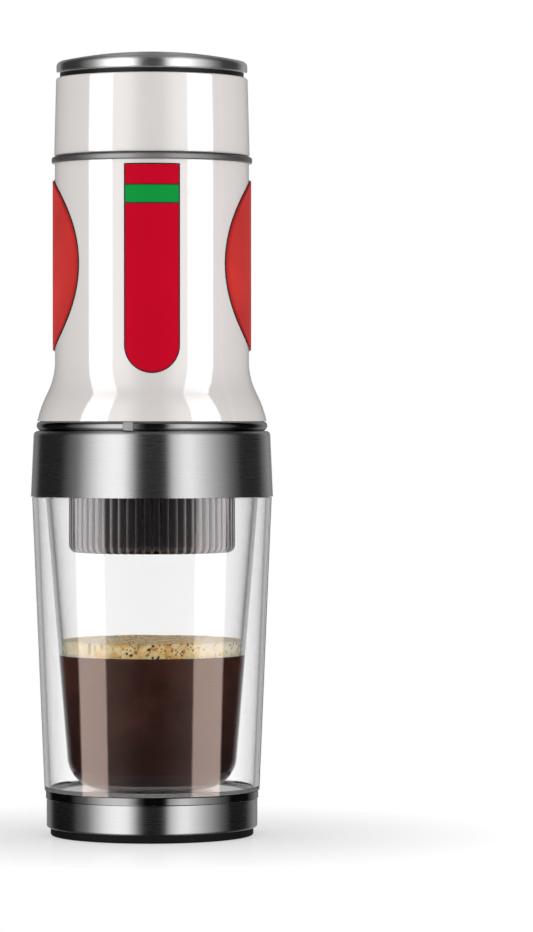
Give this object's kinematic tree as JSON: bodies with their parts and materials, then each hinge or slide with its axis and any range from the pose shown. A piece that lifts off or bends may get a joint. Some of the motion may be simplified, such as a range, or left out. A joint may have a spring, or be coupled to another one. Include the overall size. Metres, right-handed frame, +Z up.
{
  "type": "portable espresso machine",
  "caption": "Slim hand-pumped espresso machine: white flared body with a twist-lock pump head, brushed collar, ribbed screw-on filter holder and clear double-walled cup on a steel base.",
  "frame": {"origin": "middle of the foot's underside, on the axis of the cup and body", "axes": "+Z up along the axis, -Y to the front with the stripe, +X to the right"},
  "size_m": [0.0753, 0.0752, 0.2426],
  "materials": {
    "shell_white": "white moulded plastic, satin gloss",
    "steel_brushed": "stainless steel brushed round the part",
    "steel_polished": "polished stainless steel",
    "steel_plain": "plain stainless steel",
    "grip_chrome": "plastic with a dark satin chrome plating",
    "plated_bright": "plastic with a bright chrome plating",
    "cup_clear": "clear polished copolyester",
    "cup_glass": "clear polished copolyester",
    "rubber_black": "matte black rubber",
    "silicone": "translucent grey silicone",
    "inlay_red": "red gloss inlay",
    "inlay_green": "green gloss inlay",
    "pad_red": "soft red grip pad",
    "plastic_dark": "matte dark grey nylon",
    "plastic_grey": "light grey acetal",
    "bronze": "plain bronze"
  },
  "bodies": {
    "cup": {"rubber_foot": "rubber_black", "base_cover": "steel_brushed", "base_insert": "plated_bright", "base_trim_ring": "steel_polished", "outer_cup": "cup_clear", "inner_cup": "cup_glass", "rim_seal": "silicone"},
    "brewer": {"body_shell": "shell_white", "steel_collar": "steel_brushed", "collar_trim_ring": "steel_polished", "index_tab": "shell_white", "neck_ring": "steel_polished", "stripe_inlay": "inlay_red", "stripe_band": "inlay_green", "side_pad_left": "pad_red", "side_pad_right": "pad_red", "brew_head": "plastic_dark", "cup_gasket": "silicone", "brew_gasket": "silicone", "body_screws": "steel_plain", "water_tank": "steel_plain", "tank_gasket": "silicone", "pump_base": "plastic_dark", "pump_base_seal": "rubber_black", "pump_cylinder": "steel_plain", "cylinder_cap": "plastic_dark", "rod_bush": "bronze", "guide_bush": "plastic_dark", "valve_retainer": "bronze", "valve_spring": "steel_plain", "return_spring": "steel_plain"},
    "check_valve": {"valve_ball": "steel_plain"},
    "plunger": {"piston_rod": "steel_plain", "piston": "plastic_dark", "piston_seal": "rubber_black", "piston_nut": "steel_plain", "rod_washer": "steel_plain", "rod_screw": "steel_plain"},
    "pump_head": {"pump_handle": "shell_white", "plunger_tube": "plastic_grey", "spring_seat": "steel_plain", "handle_screws": "steel_plain", "cap_carrier": "plastic_dark", "top_cap": "steel_brushed"},
    "basket": {"filter_basket": "steel_plain", "filter_plate": "steel_plain"},
    "screen": {"shower_screen": "steel_plain"},
    "holder": {"filter_holder": "plastic_dark", "grip_ring": "grip_chrome", "outlet_nozzle": "steel_plain"}
  },
  "joints": [
    {"name": "brewer_lift", "type": "slide", "parent": "cup", "child": "brewer", "axis": [0, 0, 1], "range_m": [0, 0.05]},
    {"name": "pump_stroke", "type": "slide", "parent": "brewer", "child": "plunger", "axis": [0, 0, 1], "range_m": [0, 0.03], "deforming": ["return_spring"]},
    {"name": "lock_twist", "type": "hinge", "parent": "plunger", "child": "pump_head", "pos_m": [0, 0, 0.225], "axis": [0, 0, -1], "range_deg": [0, 35]},
    {"name": "valve_open", "type": "slide", "parent": "brewer", "child": "check_valve", "axis": [0, 0, -1], "range_m": [0, 0.0012], "stiffness_N_per_m": 200, "springref_m": -0.001, "deforming": ["valve_spring"]},
    {"name": "basket_drop", "type": "slide", "parent": "brewer", "child": "basket", "axis": [0, 0, -1], "range_m": [0, 0.006]},
    {"name": "holder_unscrew", "type": "hinge", "parent": "basket", "child": "holder", "pos_m": [0, 0, 0.1], "axis": [0, 0, -1], "range_deg": [0, 720]},
    {"name": "screen_lift", "type": "slide", "parent": "basket", "child": "screen", "axis": [0, 0, 1], "range_m": [0, 0.008]}
  ],
  "couplings": [
    {"joint": "basket_drop", "follows": "holder_unscrew", "m_per_rad": 0.00047746}
  ]
}
